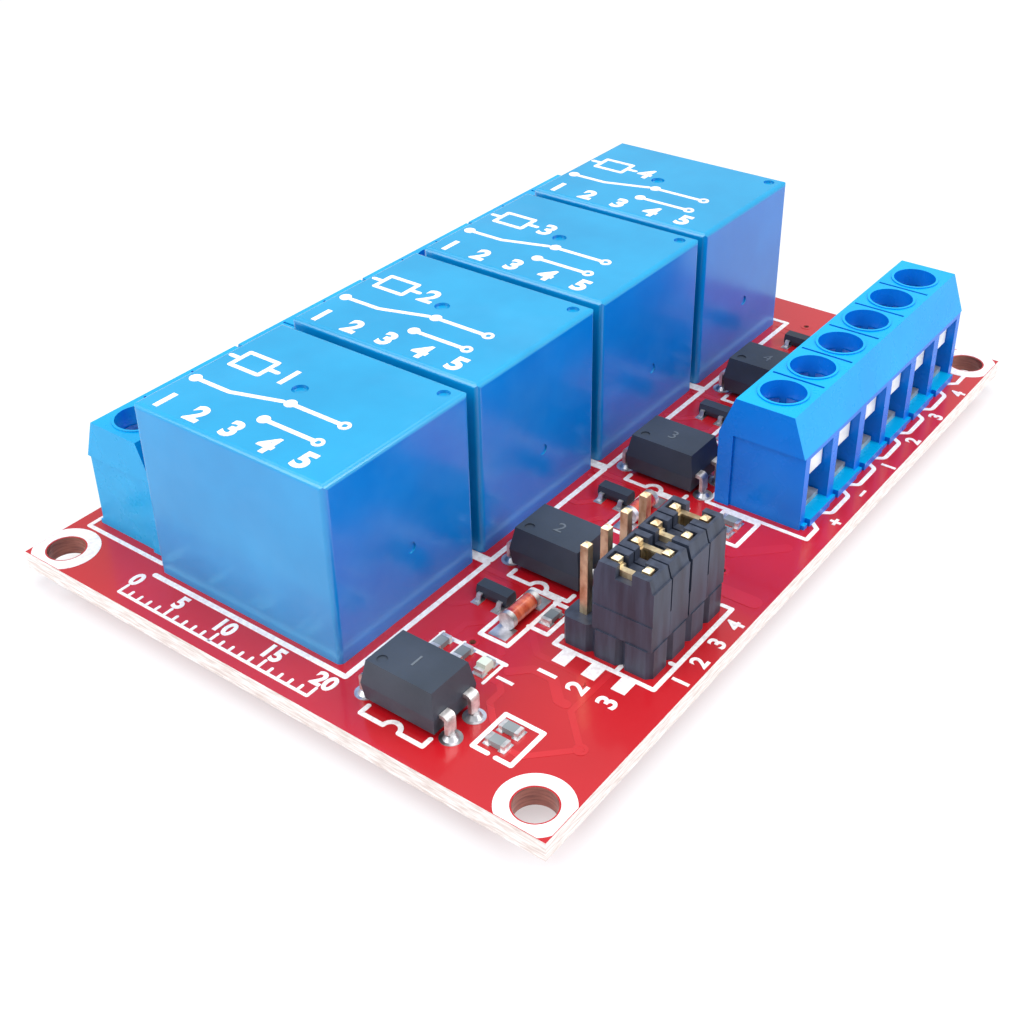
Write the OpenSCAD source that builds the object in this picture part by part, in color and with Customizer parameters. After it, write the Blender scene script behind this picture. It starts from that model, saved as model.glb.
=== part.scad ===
// Four-channel relay module board: relays, screw terminals, isolators and jumper block on one panel.
// Origin: centre of the board's outline, on the surface the solder tails rest on. +X runs along the
// long side, the input terminal stands along -Y and the output terminals along +Y.

/* [Board] */
// Thickness of the board
pcb_t = 1.6; // [1:0.1:2.4]
// Length of the solder tails below the board
tail_len = 1.5; // [1:0.1:3]
// Diameter of the four mounting holes
mount_hole_d = 3.1; // [2.5:0.1:4]
// Distance from a mounting hole's centre to the short edge
mount_inset_x = 2.2; // [2:0.1:4]
// Distance from a mounting hole's centre to the long edge
mount_inset_y = 2.4; // [2.3:0.1:4]
// Board kept free beyond the relay row at the left end
left_space = 4.7; // [4.7:0.1:12]
// Board kept free beyond the relay row at the right end
right_space = 5.3; // [5.3:0.1:12]
// Board in front of the input terminal
front_space = 2.65; // [2:0.05:8]
// Board behind the output terminals
back_space = 2.15; // [2:0.05:8]
// Radial clearance of a lead in its plated hole
hole_clear = 0.15; // [0.1:0.05:0.3]

/* [Relays] */
// Width of a relay along the row
relay_w = 15.5; // [12:0.1:20]
// Length of a relay across the row
relay_l = 19.1; // [15:0.1:24]
// Height of a relay above the board
relay_h = 15.4; // [12:0.1:20]
// Gap between two relays
relay_gap = 1; // [0.5:0.1:4]
// Radius of the case's edges
relay_edge_r = 0.45; // [0.2:0.05:1]
// Thickness of the case's skirt round the base plate
relay_wall = 0.8; // [0.5:0.05:1.2]
// Thickness of the base plate that closes the case
relay_base_t = 1.4; // [1:0.1:2.5]
// Diameter of a relay pin
relay_pin_d = 1; // [0.6:0.05:1.4]
// Gap between the relays and the output terminals
relay_terminal_gap = 1.1; // [0.5:0.1:5]

/* [Screw terminals] */
// Distance between two poles
pole_pitch = 5.08; // [4.2:0.01:6.5]
// Depth of a terminal from its wire entries to its back
terminal_d = 7.7; // [6.6:0.05:10]
// Height of a terminal above the board
terminal_h = 10.3; // [9:0.05:13]
// Height at which the terminal's slopes begin
terminal_shoulder = 6.85; // [6.4:0.05:8]
// How far the front slope sets the top back
front_slope = 1.2; // [0.5:0.05:1.3]
// How far the back slope sets the top forward
back_slope = 1.3; // [0.5:0.05:1.8]
// Thickness of the walls between two wire entries
pole_wall = 1.1; // [0.7:0.05:1.3]
// Extra length of the input terminal's moulding at each end
input_end = 0.5; // [0.1:0.05:0.8]
// Extra length of an output terminal's moulding at each end
output_end = 0.1; // [0.1:0.05:0.5]
// Diameter of a screw well
well_d = 3.75; // [3.4:0.05:4.3]
// Diameter of the terminal screw's head
screw_head_d = 3.5; // [3:0.05:3.6]
// Diameter of the terminal screw's shank
screw_d = 2.8; // [2:0.05:3]
// Thickness of the contact strip in a terminal
strip_t = 0.5; // [0.3:0.05:0.8]
// Thickness of the leaf that clamps the wire
leaf_t = 0.25; // [0.15:0.05:0.4]
// Diameter of a terminal pin
terminal_pin_d = 1.1; // [0.8:0.05:1.4]
// Gap between two output terminals
terminal_gap = 0.4; // [0.2:0.05:3]
// Gap from the input terminal's right end to the board's edge
input_end_space = 5.2; // [5:0.1:12]

/* [Isolators] */
// Width of an isolator along the row
opto_w = 4.6; // [4:0.1:6]
// Length of an isolator's body across the row
opto_l = 6.5; // [5.5:0.1:7]
// Height of an isolator's body
opto_body_h = 3.4; // [2.5:0.1:4.5]
// Gap under an isolator's body
opto_lift = 0.5; // [0.2:0.1:1]
// Distance between an isolator's two rows of leads
opto_rows = 7.62; // [7.3:0.01:9.5]
// Distance between two leads of one row
lead_pitch = 2.54; // [2.2:0.01:3.1]
// Thickness of an isolator's lead
lead_t = 0.3; // [0.2:0.05:0.4]
// Width of a lead where it passes through the board
lead_w = 0.5; // [0.4:0.05:0.7]
// Width of a lead's shoulder
lead_shoulder_w = 0.9; // [0.8:0.05:1.5]
// Board between the relays and the isolators' back leads
opto_back_space = 2.3; // [2:0.05:5]
// Board between the isolators' front leads and the input terminal
opto_front_space = 1.18; // [0.9:0.05:5]

/* [Jumper block] */
// Distance between two header pins
header_pitch = 2.54; // [2.2:0.01:3.2]
// Width of a square header pin
pin_w = 0.64; // [0.4:0.01:0.8]
// Height of the header's base
header_base_h = 2.5; // [2:0.1:3.5]
// Height of a jumper cap
cap_h = 6; // [5:0.1:9]
// Width of a jumper cap
cap_w = 2.3; // [2:0.05:2.35]
// How far a cap's body stands off the middle of its pins
cap_shift = 0.04; // [0:0.01:0.05]
// Clearance between a pin and the clip round it
clip_clear = 0.03; // [0.01:0.01:0.1]
// Thickness of the clip in a jumper cap
clip_t = 0.2; // [0.1:0.05:0.25]
// Distance from the left edge to the header's centre
header_from_left = 21.3; // [18:0.1:24]
// Distance from the front edge to the header's centre
header_from_front = 6.5; // [6:0.1:9]

/* [Surface parts] */
// Length of a chip resistor
chip_l = 1.6; // [1:0.1:2.1]
// Width of a chip resistor
chip_w = 0.8; // [0.5:0.05:1.3]
// Height of a chip resistor
chip_h = 0.45; // [0.3:0.05:0.7]
// Length of a transistor's body
transistor_l = 2.9; // [2.4:0.1:3.3]
// Width of a transistor's body
transistor_w = 1.3; // [1:0.1:1.6]
// Height of a transistor above the board
transistor_h = 1.05; // [0.8:0.05:1.3]
// Length of a diode's glass tube
diode_glass_l = 2.5; // [1.8:0.1:3]
// Length of a diode's end cap
diode_cap_l = 0.45; // [0.3:0.05:0.7]
// Diameter of a diode's end cap
diode_d = 1.45; // [1:0.05:1.8]

/* [Hidden] */
channels = 4;
out_poles = 3;
in_poles = channels + 2;
out_w = out_poles * pole_pitch + 2 * output_end;
in_w = in_poles * pole_pitch + 2 * input_end;
relay_row = channels * relay_w + (channels - 1) * relay_gap;
out_row = channels * out_w + (channels - 1) * terminal_gap;
row_w = max(relay_row, out_row);
strip_w = opto_back_space + opto_rows + opto_front_space;

pcb_l = left_space + row_w + right_space;
pcb_w = front_space + 2 * terminal_d + strip_w + relay_l + relay_terminal_gap + back_space;
left = -pcb_l / 2;
front = -pcb_w / 2;
top = tail_len + pcb_t;

channel_pitch = row_w / channels + (relay_row >= out_row ? relay_gap / channels : 0);
first_x = left + left_space + relay_w / 2;
input_front = front + front_space;
relay_front = input_front + terminal_d + strip_w;
relay_y = relay_front + relay_l / 2;
output_front = -front - back_space;
out_pitch = out_w + terminal_gap;
out_first_x = -(channels - 1) * out_pitch / 2;
input_x = -left - input_end_space - in_w / 2;
header_x = left + header_from_left;
header_y = front + header_from_front;
function channel_x(i) = first_x + i * channel_pitch;

// The first isolator stands nearer the corner than the rule of the others gives.
opto_dx = -5.7;
opto_y = relay_front - opto_back_space - opto_rows / 2;
opto_at = [for (i = [0:channels - 1]) [channel_x(i) + opto_dx - (i == 0 ? 1.75 : 0), opto_y - (i == 0 ? 1 : 0)]];
transistor_at = [for (i = [0:channels - 1]) [channel_x(i) + 4.9, relay_front - 4.3]];
diode_at = [for (i = [0:channels - 1]) [channel_x(i) + 4.2, relay_front - 7.1]];
led_at = [for (i = [0:channels - 1]) [channel_x(i) - 1.9, relay_front - 8.5]];
across_chips = concat(
    [for (i = [0:channels - 1]) [channel_x(i) + 5.4, relay_front - 9.1]],
    [for (i = [0:channels - 1], d = [4.3, 6.3]) [channel_x(i) - 1.7, relay_front - d]]);
along_chips = [for (x = [left + 5.1, left + 6.6, input_x - in_w / 2 - 2, input_x - in_w / 2 - 3.5])
    [x, front + 7.6]];
via_at = [[left + 12.3, relay_front - 6], [left + 7.9, front + 2.85], [left + 31, relay_front - 5.6],
    [left + 13.2, front + 6.4], [-left - 4.2, relay_front - 3], [left + 30.4, front + 5]];
via_d = 0.5;

mounts_at = [for (sx = [-1, 1], sy = [-1, 1]) [sx * (pcb_l / 2 - mount_inset_x), sy * (pcb_w / 2 - mount_inset_y)]];
coil_pin_x = relay_w / 2 - 1.75;
coil_pin_y = -relay_l / 2 + 4;
common_pin_y = -relay_l / 2 + 2;
contact_pin_y = relay_l / 2 - 2.9;
relay_pin_at = [[-coil_pin_x, coil_pin_y], [coil_pin_x, coil_pin_y], [0, common_pin_y],
    [-coil_pin_x, contact_pin_y], [coil_pin_x, contact_pin_y]];
terminal_pin_u = terminal_d / 2;
header_columns = channels;
header_rows = 3;
cap_l = 2 * header_pitch - 0.14;
touch = 0.01;
fine = 48;
small = 24;

// ---- shared shapes ----

// Rectangle with true arcs at its corners, centred.
module round_rect(w, l, r) {
    square([w - 2 * r, l], center = true);
    square([w, l - 2 * r], center = true);
    for (sx = [-1, 1], sy = [-1, 1])
        translate([sx * (w / 2 - r), sy * (l / 2 - r)]) circle(r, $fn = small);
}

// Block standing on z = 0 with every edge rounded but the four at the bottom.
module round_block(w, l, h, r) {
    intersection() {
        linear_extrude(h) round_rect(w, l, r);
        rotate([90, 0, 0]) translate([0, 0, -l]) linear_extrude(2 * l) top_rounded(w, h, r);
        rotate([90, 0, 90]) translate([0, 0, -w]) linear_extrude(2 * w) top_rounded(l, h, r);
    }
}

module top_rounded(w, h, r) {
    translate([-w / 2, 0]) square([w, h - r]);
    translate([-w / 2 + r, 0]) square([w - 2 * r, h]);
    for (s = [-1, 1]) translate([s * (w / 2 - r), h - r]) circle(r, $fn = small);
}

module at(points, z = 0) {
    for (p = points) translate([p[0], p[1], z]) children();
}

// Square pin with a bevelled tip at both ends, standing on z = 0.
module square_pin(w, h) {
    bevel = w * 0.35;
    outline = [[-w / 2 + bevel, 0], [w / 2 - bevel, 0], [w / 2, bevel], [w / 2, h - bevel],
        [w / 2 - bevel, h], [-w / 2 + bevel, h], [-w / 2, h - bevel], [-w / 2, bevel]];
    intersection() {
        rotate([90, 0, 0]) translate([0, 0, -w / 2]) linear_extrude(w) polygon(outline);
        rotate([90, 0, 90]) translate([0, 0, -w / 2]) linear_extrude(w) polygon(outline);
    }
}

// ---- board ----

function input_pin_at() = [for (p = [0:in_poles - 1])
    [input_x + (p - (in_poles - 1) / 2) * pole_pitch, input_front + terminal_pin_u]];
function output_pin_at() = [for (i = [0:channels - 1], p = [0:out_poles - 1])
    [out_first_x + i * out_pitch + (p - (out_poles - 1) / 2) * pole_pitch, output_front - terminal_pin_u]];
function all_relay_pins() = [for (i = [0:channels - 1], p = relay_pin_at) [channel_x(i) + p[0], relay_y + p[1]]];
function opto_lead_at() = [for (o = opto_at, sx = [-1, 1], sy = [-1, 1])
    [o[0] + sx * lead_pitch / 2, o[1] + sy * opto_rows / 2]];
function header_pin_at() = [for (c = [0:header_columns - 1], r = [0:header_rows - 1])
    [header_x + (c - (header_columns - 1) / 2) * header_pitch,
     header_y + ((header_rows - 1) / 2 - r) * header_pitch]];
header_pin_d = pin_w * sqrt(2);

module pcb() {
    color("firebrick") translate([0, 0, tail_len]) linear_extrude(pcb_t) difference() {
        square([pcb_l, pcb_w], center = true);
        at(mounts_at) circle(d = mount_hole_d, $fn = fine);
        at(all_relay_pins()) circle(relay_pin_d / 2 + hole_clear, $fn = small);
        at(input_pin_at()) circle(terminal_pin_d / 2 + hole_clear, $fn = small);
        at(output_pin_at()) circle(terminal_pin_d / 2 + hole_clear, $fn = small);
        at(opto_lead_at()) circle(lead_w / 2 + hole_clear, $fn = small);
        at(header_pin_at()) circle(header_pin_d / 2 + hole_clear / 2, $fn = small);
        at(via_at) circle(d = via_d, $fn = small);
    }
}

// Fillet of solder round a tail, on the board's underside.
module solder_cone(d, base_d) {
    solder_h = tail_len * 0.7;
    difference() {
        translate([0, 0, tail_len - solder_h])
            cylinder(h = solder_h, d1 = d + 0.25, d2 = base_d, $fn = small);
        children();
    }
}

module solder_joints() {
    color("silver") {
        at(all_relay_pins()) solder_cone(relay_pin_d, 2.1)
            translate([0, 0, -1]) cylinder(h = top + 2, d = relay_pin_d, $fn = small);
        at(concat(input_pin_at(), output_pin_at())) solder_cone(terminal_pin_d, 2.3)
            translate([0, 0, -1]) cylinder(h = top + 2, d = terminal_pin_d, $fn = small);
        at(header_pin_at()) solder_cone(pin_w * 1.25, 1.7)
            translate([-pin_w / 2, -pin_w / 2, -1]) cube([pin_w, pin_w, top + 2]);
        at(opto_lead_at()) solder_cone(lead_w * 1.2, 1.5)
            translate([-lead_w / 2, -lead_t / 2, -1]) cube([lead_w, lead_t, top + 2]);
        // The isolators' leads are wetted from above as well.
        at(opto_lead_at(), top) difference() {
            cylinder(h = 0.35, d1 = 1.25, d2 = 0.75, $fn = small);
            translate([-lead_w / 2, -lead_t / 2, -1]) cube([lead_w, lead_t, 2]);
        }
    }
}

// ---- relays ----

dimple_d = 1.3;
dimple_depth = 0.25;
vent_inset = 1.3;
base_inset = 0.3;

module relay_case(i) {
    color("dodgerblue") translate([channel_x(i), relay_y, top]) difference() {
        round_block(relay_w, relay_l, relay_h, relay_edge_r);
        // Pocket for the base plate, which sits a little above the skirt's rim.
        translate([0, 0, -touch]) linear_extrude(base_inset + relay_base_t + touch)
            square([relay_w - 2 * relay_wall, relay_l - 2 * relay_wall], center = true);
        // Gate mark in the middle of the top, vent mark near one corner.
        translate([0.8, 0.8, relay_h - dimple_depth]) cylinder(h = 1, d = dimple_d, $fn = fine);
        translate([relay_w / 2 - vent_inset, -relay_l / 2 + vent_inset, relay_h - dimple_depth])
            cylinder(h = 1, d = dimple_d * 0.8, $fn = fine);
        // Ejector mark on the front.
        translate([0.5, -relay_l / 2 - 1, relay_h * 0.36]) rotate([-90, 0, 0])
            cylinder(h = 1 + dimple_depth / 2, d = dimple_d * 0.7, $fn = small);
    }
}

module relay_base(i) {
    color("black") translate([channel_x(i), relay_y, top + base_inset]) difference() {
        linear_extrude(relay_base_t)
            square([relay_w - 2 * relay_wall, relay_l - 2 * relay_wall], center = true);
        at(relay_pin_at, -1) cylinder(h = relay_base_t / 2 + 1, d = relay_pin_d, $fn = small);
    }
}

module relay_pins() {
    color("silver") at(all_relay_pins())
        cylinder(h = top + base_inset + relay_base_t / 2, d = relay_pin_d, $fn = small);
}

// ---- screw terminals: drawn with the wire entries facing -Y and the front face on y = 0 ----

floor_t = 0.7;
roof_gap = 0.4;
tab_gap = 0.2;
groove_w = 0.24;
groove_end = 0.3;
chamber_back = 1.2;
entry_w = pole_pitch - pole_wall;
chamber_top = terminal_shoulder - roof_gap;
well_u = (front_slope + terminal_d - back_slope) / 2;
panel_depth = 0.25;
rib_w = 1.3;
lip = 0.45;
chamber_l = terminal_d - chamber_back;
screw_drop = 1.5;
leaf_top = 4.1;
leaf_u = 0.75;
rim_h = 0.1;
rim_w = 0.22;
contact_w = entry_w - 0.3;
contact_back = terminal_d - chamber_back - 0.1;

module terminal_outline() {
    polygon([[0, 0], [0, terminal_shoulder], [front_slope, terminal_h],
        [terminal_d - back_slope, terminal_h], [terminal_d, terminal_shoulder], [terminal_d, 0]]);
}

module along_x(w) {
    rotate([90, 0, 90]) translate([0, 0, -w / 2]) linear_extrude(w) children();
}

module terminal_body(poles, end) {
    w = poles * pole_pitch + 2 * end;
    difference() {
        union() {
            along_x(w) terminal_outline();
            // Low foot at each wall, inside the ends, and a thicker tab under each entry.
            for (p = [0:poles]) translate([(p - poles / 2) * pole_pitch, -lip * 0.7, 0])
                translate([p == poles ? -pole_wall / 2 : 0, 0, 0])
                    translate([p == 0 || p == poles ? 0 : -pole_wall / 2, 0, 0])
                        cube([p == 0 || p == poles ? pole_wall / 2 : pole_wall, lip, floor_t * 0.55]);
            for (p = [0:poles - 1]) translate([(p - (poles - 1) / 2) * pole_pitch, 0, 0])
                translate([-entry_w / 2 + tab_gap, -lip, 0]) cube([entry_w - 2 * tab_gap, 2 * lip, floor_t]);
            // Thin rim round each screw well.
            for (p = [0:poles - 1]) translate([(p - (poles - 1) / 2) * pole_pitch, well_u, terminal_h - rim_h])
                cylinder(h = 2 * rim_h, d = well_d + 2 * rim_w, $fn = fine);
        }
        for (p = [0:poles - 1]) translate([(p - (poles - 1) / 2) * pole_pitch, 0, 0]) {
            translate([-entry_w / 2, -1, floor_t]) cube([entry_w, chamber_l + 1, chamber_top - floor_t]);
            translate([0, well_u, chamber_top - touch]) cylinder(h = terminal_h, d = well_d, $fn = fine);
            translate([0, terminal_pin_u, -1]) cylinder(h = 3, d = terminal_pin_d, $fn = small);
        }
        // Fine grooves between the screw wells.
        for (p = [1:poles - 1])
            translate([(p - poles / 2) * pole_pitch - groove_w / 2, front_slope + groove_end, terminal_h - 0.35])
                cube([groove_w, terminal_d - front_slope - back_slope - 2 * groove_end, 1]);
        // Lowered panel on both ends, leaving a rib along the back edge.
        for (s = [-1, 1]) translate([s * w / 2 - panel_depth, -2, -1])
            cube([2 * panel_depth, terminal_d - rib_w + 2, terminal_shoulder + 1]);
    }
}

// Screw: slotted head in the well, shank down to the leaf.
module terminal_screw() {
    head_top = terminal_h - screw_drop;
    head_h = 1;
    translate([0, well_u, 0]) {
        difference() {
            translate([0, 0, head_top - head_h]) cylinder(h = head_h, d = screw_head_d, $fn = fine);
            rotate([0, 0, 25]) translate([-screw_head_d, -0.3, head_top - 0.6])
                cube([2 * screw_head_d, 0.6, 1]);
        }
        translate([0, 0, leaf_top]) cylinder(h = head_top - head_h - leaf_top, d = screw_d, $fn = fine);
    }
}

// Leaf: hangs from the roof of the chamber behind the entry and lies under the screw.
module terminal_leaf() {
    along_x(contact_w) polygon([[leaf_u, chamber_top], [leaf_u, leaf_top - leaf_t],
        [contact_back - 1.2, leaf_top - leaf_t], [contact_back - 1.2, leaf_top],
        [leaf_u + leaf_t, leaf_top], [leaf_u + leaf_t, chamber_top]]);
}

// Contact: strip folded round the chamber's floor, back and roof, with the pin below.
module terminal_contact() {
    roof = chamber_top - strip_t;
    difference() {
        along_x(contact_w) polygon([[leaf_u, floor_t], [leaf_u, floor_t + strip_t],
            [contact_back - strip_t, floor_t + strip_t], [contact_back - strip_t, roof],
            [leaf_u + leaf_t + 0.2, roof], [leaf_u + leaf_t + 0.2, chamber_top],
            [contact_back, chamber_top], [contact_back, floor_t]]);
        translate([0, well_u, roof - 1]) cylinder(h = 3, d = screw_d + 0.1, $fn = fine);
    }
    translate([0, terminal_pin_u, -top]) cylinder(h = top + floor_t, d = terminal_pin_d, $fn = small);
}

module place_input() {
    translate([input_x, input_front, top]) children();
}

module place_output(i) {
    translate([out_first_x + i * out_pitch, output_front, top]) rotate([0, 0, 180]) children();
}

module poles(n) {
    for (p = [0:n - 1]) translate([(p - (n - 1) / 2) * pole_pitch, 0, 0]) children();
}

module input_terminal_body() color("royalblue") place_input() terminal_body(in_poles, input_end);
module input_terminal_screws() color("silver") place_input() poles(in_poles) terminal_screw();
module input_terminal_leaves() color("gainsboro") place_input() poles(in_poles) terminal_leaf();
module input_terminal_contacts() color("tan") place_input() poles(in_poles) terminal_contact();
module output_terminal_body(i) color("royalblue") place_output(i) terminal_body(out_poles, output_end);
module each_output() for (i = [0:channels - 1]) place_output(i) poles(out_poles) children();
module output_terminal_screws() color("silver") each_output() terminal_screw();
module output_terminal_leaves() color("gainsboro") each_output() terminal_leaf();
module output_terminal_contacts() color("tan") each_output() terminal_contact();

// ---- isolators ----

seam_h = opto_body_h * 0.42;
draft = 0.35;
lead_z = top + opto_lift + seam_h;
bend_r = 0.45;

// Moulded body: widest at the seam where the leads leave it.
module isolator(i) {
    z0 = opto_lift;
    function side(w) = [[-w / 2 + draft / 2, z0], [w / 2 - draft / 2, z0], [w / 2, z0 + seam_h],
        [w / 2 - draft, z0 + opto_body_h], [-w / 2 + draft, z0 + opto_body_h], [-w / 2, z0 + seam_h]];
    color("dimgray") translate([opto_at[i][0], opto_at[i][1], top]) difference() {
        intersection() {
            along_x(opto_w) polygon(side(opto_l));
            rotate([90, 0, 0]) translate([0, 0, -opto_l / 2]) linear_extrude(opto_l) polygon(side(opto_w));
        }
        translate([-opto_w / 2 + 1.1, opto_l / 2 - 1.2, opto_lift + opto_body_h - 0.12])
            cylinder(h = 1, d = 0.8, $fn = small);
    }
}

// One bent lead, leaving the body at y = opto_l / 2 and going down at y = opto_rows / 2.
module isolator_lead() {
    y0 = opto_l / 2;
    y1 = opto_rows / 2;
    z1 = opto_lift + seam_h;
    module bent() {
        translate([y0, z1 - lead_t / 2]) square([y1 + lead_t / 2 - bend_r - y0, lead_t]);
        translate([y1 + lead_t / 2 - bend_r, z1 + lead_t / 2 - bend_r]) intersection() {
            difference() {
                circle(bend_r, $fn = small);
                circle(bend_r - lead_t, $fn = small);
            }
            square(bend_r);
        }
        translate([y1 - lead_t / 2, -top]) square([lead_t, z1 + lead_t / 2 - bend_r + top]);
    }
    along_x(lead_w) bent();
    along_x(lead_shoulder_w) intersection() {
        bent();
        translate([y0, 0.55]) square([5, 10]);
    }
}

module isolator_leads() {
    color("silver") for (o = opto_at, sx = [-1, 1], turn = [0, 180])
        translate([o[0] + sx * lead_pitch / 2, o[1], top]) rotate([0, 0, turn]) isolator_lead();
}

// ---- surface parts ----

module transistor(i) {
    h = transistor_h;
    w = transistor_w;
    translate([transistor_at[i][0], transistor_at[i][1], top]) color("dimgray")
        rotate([90, 0, 0]) translate([0, 0, -transistor_l / 2]) linear_extrude(transistor_l)
            polygon([[-w / 2 + 0.1, 0.1], [w / 2 - 0.1, 0.1], [w / 2, h / 2], [w / 2 - 0.15, h],
                [-w / 2 + 0.15, h], [-w / 2, h / 2]]);
}

// Gull-wing lead that leaves the body at half height.
module gull_wing(from, reach, w) {
    h = transistor_h / 2;
    t = 0.12;
    rotate([90, 0, 0]) translate([0, 0, -w / 2]) linear_extrude(w)
        polygon([[from, h + t / 2], [from + 0.25, h + t / 2], [from + 0.45, t], [from + reach, t],
            [from + reach, 0], [from + 0.35, 0], [from + 0.2, h - t / 2], [from, h - t / 2]]);
}

module transistor_leads() {
    reach = 0.75;
    color("silver") for (p = transistor_at) translate([p[0], p[1], top]) {
        gull_wing(transistor_w / 2, reach, 0.4);
        for (s = [-1, 1]) translate([0, s * 0.95, 0]) mirror([1, 0, 0])
            gull_wing(transistor_w / 2, reach, 0.4);
    }
}

module diode_glass() {
    color("orangered") at(diode_at, top + diode_d / 2) rotate([0, 90, 0])
        cylinder(h = diode_glass_l, d = diode_d - 0.1, center = true, $fn = small);
}

module diode_caps() {
    color("silver") at(diode_at, top + diode_d / 2) for (s = [-1, 1])
        translate([s * (diode_glass_l + diode_cap_l) / 2, 0, 0]) rotate([0, 90, 0])
            cylinder(h = diode_cap_l, d = diode_d, center = true, $fn = small);
}

end_l = 0.3;
module chip_body() {
    translate([-chip_l / 2 + end_l, -chip_w / 2, 0]) cube([chip_l - 2 * end_l, chip_w, chip_h]);
}

module chip_end_pair() {
    for (s = [-1, 1]) translate([s * (chip_l - end_l) / 2, 0, chip_h / 2])
        cube([end_l, chip_w, chip_h], center = true);
}

module each_chip() {
    at(across_chips, top) children();
    at(along_chips, top) rotate([0, 0, 90]) children();
}

module chip_bodies() color("black") each_chip() chip_body();
module chip_ends() color("silver") each_chip() chip_end_pair();

// Lamp: chip-sized base with a smaller lens on it.
module led_bodies() {
    color("white") at(led_at, top) {
        chip_body();
        translate([0, 0, chip_h]) rotate([90, 0, 0]) translate([0, 0, -chip_w / 2]) linear_extrude(chip_w)
            polygon([[-chip_l / 2 + end_l, 0], [chip_l / 2 - end_l, 0], [chip_l / 2 - end_l - 0.1, 0.3],
                [-chip_l / 2 + end_l + 0.1, 0.3]]);
    }
}

module led_ends() color("silver") at(led_at, top) chip_end_pair();

// ---- jumper block ----

// Base: one cell for each pin, with its corners cut, joined into a block.
module header_base() {
    cut = header_pitch * 0.16;
    color("black") difference() {
        union() at(header_pin_at(), top) linear_extrude(header_base_h)
            intersection() {
                square(header_pitch + touch, center = true);
                rotate(45) square(header_pitch * sqrt(2) - cut * sqrt(2), center = true);
            }
        at(header_pin_at(), top - 1) translate([-pin_w / 2, -pin_w / 2, 0])
            cube([pin_w, pin_w, header_base_h + 2]);
    }
}

pin_top = header_base_h + cap_h + 0.2;
module header_pins() {
    color("gold") at(header_pin_at()) square_pin(pin_w, top + pin_top);
}

clip_x = pin_w / 2 + clip_clear;
clip_span = header_pitch + pin_w + 2 * clip_clear + 2 * clip_t;
clip_foot = 1;
bridge_w = 0.5;
clip_h = cap_h - clip_foot - 0.5;
collar_w = min(cap_w + 0.14, header_pitch - 2 * cap_shift - 0.02);
collar_h = cap_h * 0.36;
crown_h = 1;
mouth_depth = 1.3;
mouth_w = 2 * (clip_x + clip_t);

// Caps are put on alternately turned round, so their bodies stand close in pairs.
module place_cap(c) {
    translate([header_x + (c - (header_columns - 1) / 2) * header_pitch, header_y - header_pitch / 2,
        top + header_base_h]) mirror([c % 2, 0, 0]) children();
}

// Cap: collar below, bevelled crown on top, hollow for two pins and open above.
module jumper_cap(c) {
    web = header_pitch - pin_w - 2 * clip_clear - 2 * clip_t - 0.1;
    l = cap_l / 2;
    color("black") place_cap(c) difference() {
        translate([cap_shift, 0, 0]) {
            along_x(cap_w) polygon([[-l, 0], [l, 0], [l, cap_h - crown_h], [l - 0.12, cap_h - crown_h],
                [l - 0.4, cap_h], [-l + 0.4, cap_h], [-l + 0.12, cap_h - crown_h], [-l, cap_h - crown_h]]);
            translate([-collar_w / 2, -l, 0]) cube([collar_w, cap_l, collar_h]);
        }
        // Well round the clip, from the bottom to a wider mouth at the top.
        translate([-clip_x - clip_t, -clip_span / 2, -1])
            cube([2 * clip_x + clip_t, clip_span, cap_h + 2]);
        translate([-mouth_w / 2, -clip_span / 2, cap_h - mouth_depth]) cube([mouth_w, clip_span, 3]);
        // Saddle between the two halves of the top.
        translate([-cap_w, -web / 2, cap_h - crown_h]) cube([2 * cap_w, web, 2]);
    }
}

// Clip: plate along both pins with an arm on each side of each pin, and a bridge over the middle.
module jumper_clip(c) {
    arm = pin_w + clip_clear;
    bridge_l = header_pitch - 2 * clip_x;
    color("goldenrod") place_cap(c) translate([0, 0, clip_foot]) {
        translate([-clip_x - clip_t, -clip_span / 2, 0]) cube([clip_t, clip_span, clip_h]);
        for (p = [-1, 1], s = [-1, 1])
            translate([-clip_x, p * header_pitch / 2 + s * (clip_x + clip_t / 2) - clip_t / 2, 0])
                cube([arm, clip_t, clip_h]);
        translate([-clip_x - clip_t, -bridge_l / 2, clip_h - clip_t]) cube([bridge_w, bridge_l, clip_t]);
    }
}

pcb();
solder_joints();
relay_case(0);  // relay_case_1
relay_case(1);  // relay_case_2
relay_case(2);  // relay_case_3
relay_case(3);  // relay_case_4
relay_base(0);  // relay_base_1
relay_base(1);  // relay_base_2
relay_base(2);  // relay_base_3
relay_base(3);  // relay_base_4
relay_pins();
input_terminal_body();
input_terminal_screws();
input_terminal_leaves();
input_terminal_contacts();
output_terminal_body(0);  // output_terminal_body_1
output_terminal_body(1);  // output_terminal_body_2
output_terminal_body(2);  // output_terminal_body_3
output_terminal_body(3);  // output_terminal_body_4
output_terminal_screws();
output_terminal_leaves();
output_terminal_contacts();
isolator(0);  // isolator_1
isolator(1);  // isolator_2
isolator(2);  // isolator_3
isolator(3);  // isolator_4
isolator_leads();
transistor(0);  // transistor_1
transistor(1);  // transistor_2
transistor(2);  // transistor_3
transistor(3);  // transistor_4
transistor_leads();
diode_glass();
diode_caps();
chip_bodies();
chip_ends();
led_bodies();
led_ends();
header_base();
header_pins();
jumper_cap(0);  // jumper_cap_1
jumper_cap(1);  // jumper_cap_2
jumper_cap(2);  // jumper_cap_3
jumper_cap(3);  // jumper_cap_4
jumper_clip(0);  // jumper_clip_1
jumper_clip(1);  // jumper_clip_2
jumper_clip(2);  // jumper_clip_3
jumper_clip(3);  // jumper_clip_4
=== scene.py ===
import bmesh
import bpy
from itertools import cycle
from math import atan2, cos, hypot, radians, sin
from mathutils import Matrix, Vector


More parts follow.
